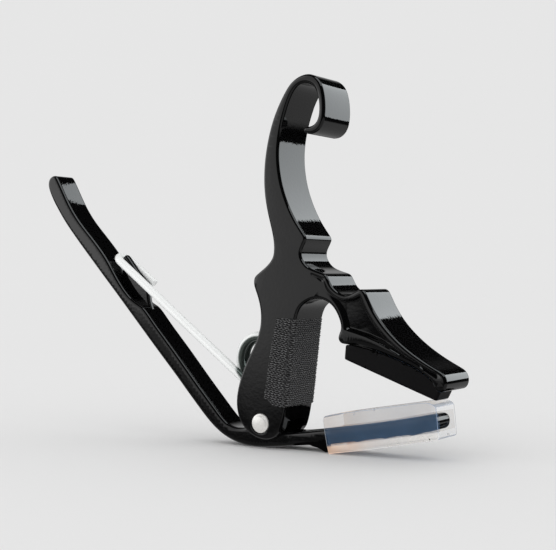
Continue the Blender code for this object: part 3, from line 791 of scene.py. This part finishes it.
def build_lever(look):
    angles = [math.radians(a) for a in range(20, 150, 30)]
    hub = [(HUB_RADIUS * math.cos(a), HUB_RADIUS * math.sin(a)) for a in angles]
    points = LEVER_OUTSIDE + BELLY + ARM_UNDERSIDE + ARM_TOP + hub + HUB_LEFT + LEVER_INSIDE
    loop = counterclockwise(faired(dense_loop(points, 0.3)))
    loop[:, 1] -= sum(0.4 * np.exp(-((loop[:, 0] - x) / 0.75) ** 2) for x in NUBS) * (outward(loop)[:, 1] < -0.9)
    loop[:, 1] = np.maximum(loop[:, 1], FLOOR)
    body = plate("lever_body", loop, LEVER_HALF, LEVER_ROLL, grid=lattice(loop), sink=level)
    lug = plate("lug", counterclockwise(faired(dense_loop(LUG, 0.25), 0.3, 1.0)), LUG_HALF, LUG_ROLL)
    boolean(body, lug, "UNION")
    heel = plate("heel", counterclockwise(dense_loop(HEEL, 0.25)), HEEL_HALF, HEEL_ROLL)
    for vertex in heel.data.vertices:
        vertex.co.y += HEEL_Y * MM
    boolean(body, heel, "UNION")
    return dress(body, look, "lever", ["lever_casting"])


def build_rivet(look):
    floor = FRAME_HALF - COUNTERBORE_DEPTH
    half = [(0.0, floor + 1.25), (1.9, floor + 1.22), (2.25, floor + 1.1), (2.42, floor + 0.85),
            (2.5, floor + 0.78), (2.85, floor + 0.75), (3.02, floor + 0.6), (3.05, floor + 0.45),
            (3.05, floor + 0.1), (1.95, floor + 0.02)]
    profile = [(r, -y) for r, y in half] + half[::-1]
    body = lathe("rivet_body", profile)
    return dress(body, look, "frame", ["pivot_rivet"], sharp=50)


def coil_point(turns):
    angle = LEG_ANGLE + 2 * math.pi * turns
    return Vector((COIL_CENTRE[0] + COIL_RADIUS * math.cos(angle), COIL_FIRST_Y + COIL_PITCH * turns,
                   COIL_CENTRE[1] + COIL_RADIUS * math.sin(angle)))


def build_spring(look):
    """One wire: the return of the hook, the hook, the leg, the coil and the leg inside the frame."""
    centre = Vector((HOOK_CENTRE[0], 0, HOOK_CENTRE[1]))
    start = coil_point(0)
    along = (centre - Vector((start.x, 0, start.z))).normalized()
    wire = []
    for i in range(13):
        wire.append(centre - along * HOOK_RETURN_LENGTH * (1 - i / 12) + Vector((0, HOOK_HALF_GAP, 0)))
    for i in range(1, 24):
        angle = math.pi * i / 24
        sideways = Vector((0, HOOK_HALF_GAP * math.cos(angle), 0))
        wire.append(centre + along * HOOK_HALF_GAP * math.sin(angle) + sideways)
    lead = centre - Vector((0, HOOK_HALF_GAP, 0))
    for i in range(48):
        wire.append(lead.lerp(start, i / 48))
    count = round(COIL_TURNS * 56)
    wire += [coil_point(COIL_TURNS * i / count) for i in range(count + 1)]
    angle = LEG_ANGLE + 2 * math.pi * COIL_TURNS
    end = wire[-1]
    rise = Vector((-math.sin(angle), 0, math.cos(angle)))
    wire += [end + rise * BACK_LEG_LENGTH * i / 12 for i in range(1, 13)]
    body = tube("spring_wire", wire, WIRE_RADIUS)
    dress(body, look, None, ["spring_coil", "spring_hooked_leg"])
    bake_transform(body)
    return body


def build_pad(look):
    loop = counterclockwise(faired(polygon_loop(PAD, 0.3), 0.3, 0.4))
    body = plate("pad_body", loop, PAD_HALF, PAD_ROLL, grid=lattice(loop), sink=level)
    return dress(body, look, "frame", ["string_pad"])


def build_sleeve(look):
    loop = counterclockwise(faired(polygon_loop(SLEEVE, 0.3), 0.3, 0.4))
    body = plate("sleeve_body", loop, SLEEVE_HALF, SLEEVE_ROLL, grid=lattice(loop), sink=level)
    boolean(body, prism("bore_cutter", SLEEVE_BORE, LEVER_HALF + BORE_CLEARANCE), "DIFFERENCE")
    return dress(body, look, "lever", ["neck_sleeve"])


def fabric_height(s, z, rng):
    """How far the knit's loops stand out at s along the wrap and z up it, from 0 to 1."""
    course = 0.66
    wale = 1.35
    drift = 0.10 * np.sin(z * 1.3 + s * 0.7) + 0.07 * np.sin(s * 2.1 - z * 0.5)
    cheek = smooth((np.abs(s) - FRAME_HALF) / 1.0)
    row = (z + drift + 0.16 * cheek * s) / course
    number = np.floor(row)
    shift = 0.5 * (number % 2) + 0.17 * np.sin(number * 2.7)
    column = s / wale + shift
    across = row - number - 0.5
    along = column - np.floor(column) - 0.5
    across = across + 0.17 * np.cos(2 * math.pi * along)
    loop = np.exp(-(across / 0.27) ** 2) * (0.55 + 0.45 * np.cos(math.pi * along) ** 2)
    uneven = 0.8 + 0.3 * rng.random(s.shape)
    return np.clip(loop * uneven + 0.04 * rng.standard_normal(s.shape), 0, 1)


def build_fabric(look):
    """Knit cloth glued over the throat side: near cheek, throat face and far cheek."""
    rng = np.random.default_rng(7)
    bottom, top = 5.7, 33.3
    rise = np.linspace(0, 1, 250)
    corner = 1.0
    flat_half = FRAME_HALF - corner
    quarter = corner * math.pi / 2
    cheek_reach = 9.6
    across = np.linspace(-1, 1, 260)
    total = flat_half + quarter + cheek_reach
    s, v = np.meshgrid(across * total, rise)
    on_cheek = np.clip((np.abs(s) - flat_half - quarter) / cheek_reach, 0, 1)
    ragged = 0.12 * np.sin(s * 3.1) + 0.08 * np.sin(s * 7.7 + 1.0) + 0.06 * rng.standard_normal(s.shape[1])
    foot = bottom + ragged * 0.8 + 2.6 * np.clip((on_cheek - 0.45) / 0.55, 0, 1) ** 1.3
    head = top + 0.6 * ragged
    z = foot + (head - foot) * v
    left = np.interp(z, [5.6, 8.3, 13.8, 22.6, 32.0, 34.0], [2.4, 1.7, 2.6, 4.1, 5.9, 6.2])
    face = THROAT_FACE_FOOT + THROAT_FACE_LEAN * (z - 5.6)
    left = left + 0.10 * np.sin(z * 2.9) + 0.07 * np.sin(z * 6.1 + 0.5)
    reach = np.maximum(face - corner - left, 0.5)
    side = np.sign(s)
    beyond = np.abs(s) - flat_half
    turned = np.clip(beyond / quarter, 0, 1) * math.pi / 2
    run = np.clip((beyond - quarter) / cheek_reach, 0, 1) * reach
    arc = np.where(beyond < 0, s, side * (flat_half + np.clip(beyond, 0, quarter) + run))
    normal_x = np.cos(turned)
    normal_y = side * np.sin(turned)
    base_x = face - corner + corner * normal_x - run
    base_y = np.where(beyond < 0, s, side * (flat_half + corner * np.sin(turned)))
    relief = fabric_height(arc, z, rng)
    lift = 0.25 + 0.34 * relief
    edge = np.minimum.reduce([v * 80, (1 - v) * 80, (1 - np.abs(s) / total) * 80 + 0.001, np.ones_like(v)])
    lift = lift * (0.35 + 0.65 * np.clip(edge, 0, 1))
    points = np.stack([base_x + normal_x * lift, base_y + normal_y * lift, z], axis=-1)
    inner = np.stack([base_x + normal_x * 0.02, base_y + normal_y * 0.02, z], axis=-1)
    rows, columns = s.shape
    index = np.arange(rows * columns).reshape(rows, columns)
    verts = points.reshape(-1, 3).tolist()
    faces = []
    for i in range(rows - 1):
        for k in range(columns - 1):
            faces.append((index[i, k], index[i, k + 1], index[i + 1, k + 1], index[i + 1, k]))
    border = ([(0, k) for k in range(columns)] + [(i, columns - 1) for i in range(1, rows)]
              + [(rows - 1, k) for k in range(columns - 2, -1, -1)] + [(i, 0) for i in range(rows - 2, 0, -1)])
    start = len(verts)
    verts += [inner[i, k].tolist() for i, k in border]
    for n, (i, k) in enumerate(border):
        m = (n + 1) % len(border)
        faces.append((index[border[n]], start + n, start + m, index[border[m]]))
    faces = [tuple(int(x) for x in face) for face in faces]
    body = new_mesh("throat_cloth", verts, faces)
    height = body.data.attributes.new("relief", "FLOAT", "POINT")
    height.data.foreach_set("value", np.concatenate([relief.ravel(), np.zeros(len(verts) - start)]))
    body.data.materials.append(look)
    body.data.polygons.foreach_set("use_smooth", [True] * len(body.data.polygons))
    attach(body, "frame")
    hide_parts("throat_fabric")
    return body


# ---------------------------------------------------------------- studio

def build_stage():
    """A pale sweep: floor, curve and back wall in one sheet."""
    profile = [(-3.0, 0.0)]
    radius = 0.6
    reach = 1.6
    for k in range(13):
        angle = math.pi / 2 * k / 12
        profile.append((reach + radius * math.sin(angle), radius * (1 - math.cos(angle))))
    profile.append((reach + radius, 3.0))
    forward = Vector((-math.sin(VIEW_TURN), math.cos(VIEW_TURN), 0))
    right = Vector((math.cos(VIEW_TURN), math.sin(VIEW_TURN), 0))
    points = []
    for along, height in profile:
        for side in (-3.0, 3.0):
            points.append(tuple(forward * along + right * side + Vector((0, 0, height))))
    faces = [(2 * i, 2 * i + 1, 2 * i + 3, 2 * i + 2) for i in range(len(profile) - 1)]
    sweep = mesh_object("studio_sweep", points, faces)
    sweep.data.polygons.foreach_set("use_smooth", [True] * len(sweep.data.polygons))
    sweep.data.materials.append(studio_paper())
    sweep.visible_glossy = False
    sweep.visible_diffuse = False
    build_floor_shade_card()


def build_floor_shade_card():
    """A black sheet on the floor under the open jaws, seen only in the enamel: painted shade standing in for the
    shaded floor near the capo that the enamel's lower faces reflect.
    """
    corners = [(PIVOT.x + x * MM, y * MM, 0.0004) for x, y in ((9.5, -30), (75, -30), (75, 45), (9.5, 45))]
    shade_card = mesh_object("floor_shade_card", corners, [(0, 1, 2, 3)])
    n = Look("floor_shade_black")
    n.set(Base_Color=n.mix(n.noise(n.where, 60, 2), (0.002, 0.002, 0.002), (0.004, 0.004, 0.004)), Roughness=0.9)
    n.set(Specular_IOR_Level=0.0)
    shade_card.data.materials.append(n.material)
    shade_card.visible_camera = False
    shade_card.visible_diffuse = False
    shade_card.visible_shadow = False
    shade_card.visible_transmission = False


def area_light(name, where, target, size, radiance):
    """A rectangular softbox of even radiance."""
    light = bpy.data.lights.new(name, "AREA")
    light.shape = "RECTANGLE"
    light.size, light.size_y = size
    light.energy = radiance * math.pi * size[0] * size[1]
    light.color = SOFTBOX_COLOUR
    obj = bpy.data.objects.new(name, light)
    SCENE.collection.objects.link(obj)
    obj.location = where
    obj.rotation_euler = (Vector(target) - Vector(where)).to_track_quat("-Z", "Y").to_euler()
    obj.visible_diffuse = False


def compass(azimuth, elevation=0.0):
    """A direction: azimuth 0 is +Y, behind the object, and 90 is +X, beyond the jaws' open end."""
    a, e = math.radians(azimuth), math.radians(elevation)
    return Vector((math.sin(a) * math.cos(e), math.cos(a) * math.cos(e), math.sin(e)))


def build_lights():
    """A tall softbox behind the right, one overhead, and an even white room.

    Reflections see the room as dark, with soft walls of light on the left, behind the left and round the floor.
    """
    box = compass(35) * 1.15 + Vector((0.025, 0, 0))
    area_light("tall_box", box + Vector((0, 0, 0.56)), Vector((0.025, 0, 0.56)), (0.98, 1.0), 2.75)
    area_light("overhead_box", compass(100, 62) * 1.4, Vector((0, 0, 0.05)), (1.2, 1.0), 2.4)
    world = bpy.data.worlds.new("studio_air")
    SCENE.world = world
    world.use_nodes = True
    world.cycles.sampling_method = "NONE"
    world.node_tree.nodes.clear()
    g = Graph(world.node_tree)
    x, y, z = g.node("SeparateXYZ", g.node("TexCoord").outputs["Generated"]).outputs
    azimuth = g.maths("DEGREES", g.maths("ARCTAN2", x, y))
    bearing = g.maths("WRAP", azimuth, 360.0, 0.0)
    elevation = g.maths("DEGREES", g.maths("ARCSINE", z))

    def band(value, low, rise, high, fall):
        return g.maths("MULTIPLY", g.ramp(value, low, low + rise, smooth=True),
                       g.ramp(value, high, high - fall, smooth=True))

    fill = g.maths("MULTIPLY", band(bearing, 190.0, 12.0, 286.0, 14.0), band(elevation, -8.5, 7.0, 50.0, 20.0))
    fill = g.maths("MULTIPLY", fill, g.ramp(bearing, 210.0, 221.0, 0.78, 1.55, smooth=True))
    below = g.ramp(elevation, 0.3, -2.4, 0.0, 0.72)
    low_left = g.maths("MULTIPLY", g.ramp(bearing, 213.0, 217.0, smooth=True), below)
    fill = g.maths("MULTIPLY", fill, g.maths("SUBTRACT", 1.0, low_left))
    floor = g.ramp(elevation, -7.0, -11.0, 0.0, 0.36, smooth=True)
    from_dim = g.maths("ABSOLUTE", g.maths("SUBTRACT", bearing, 205.0))
    floor = g.maths("MULTIPLY", floor, g.ramp(from_dim, 20.0, 60.0, 0.4, 1.0))
    back = g.maths("MULTIPLY", band(bearing, 270.0, 50.0, 352.0, 26.0), band(elevation, -2.0, 8.0, 70.0, 50.0))
    total = g.maths("ADD", fill, floor)
    total = g.maths("ADD", total, g.maths("MULTIPLY", back, 0.55))
    total = g.maths("ADD", total, 0.008)
    mirrored = g.node("LightPath").outputs["Is Glossy Ray"]
    strength = g.node("Mix", mirrored, data_type="FLOAT")
    g.fill(strength.inputs[2], 0.985)
    g.fill(strength.inputs[3], total)
    air = g.node("Background", (1.0, 1.0, 1.0, 1.0), strength.outputs[0])
    output = g.node("OutputWorld")
    g.tree.links.new(air.outputs[0], output.inputs["Surface"])


def build_camera():
    target = PIVOT + Vector((1.46, 0, 46.84)) * MM
    data = bpy.data.cameras.new("camera")
    data.sensor_width = 36
    data.lens = 80.74
    data.clip_start = 0.02
    data.clip_end = 20
    camera = bpy.data.objects.new("camera", data)
    SCENE.collection.objects.link(camera)
    camera.location = target + Vector((math.sin(VIEW_TURN), -math.cos(VIEW_TURN), 0)) * 0.4
    camera.rotation_euler = (math.radians(90), 0, VIEW_TURN)
    SCENE.camera = camera


def main():
    SCENE.view_settings.view_transform = "Standard"
    black = enamel()
    build_frame(black)
    build_lever(black)
    build_rivet(rivet_metal())
    build_spring(wire_metal())
    build_pad(rubber())
    build_sleeve(vinyl())
    build_fabric(knit())
    build_stage()
    build_lights()
    build_camera()


main()
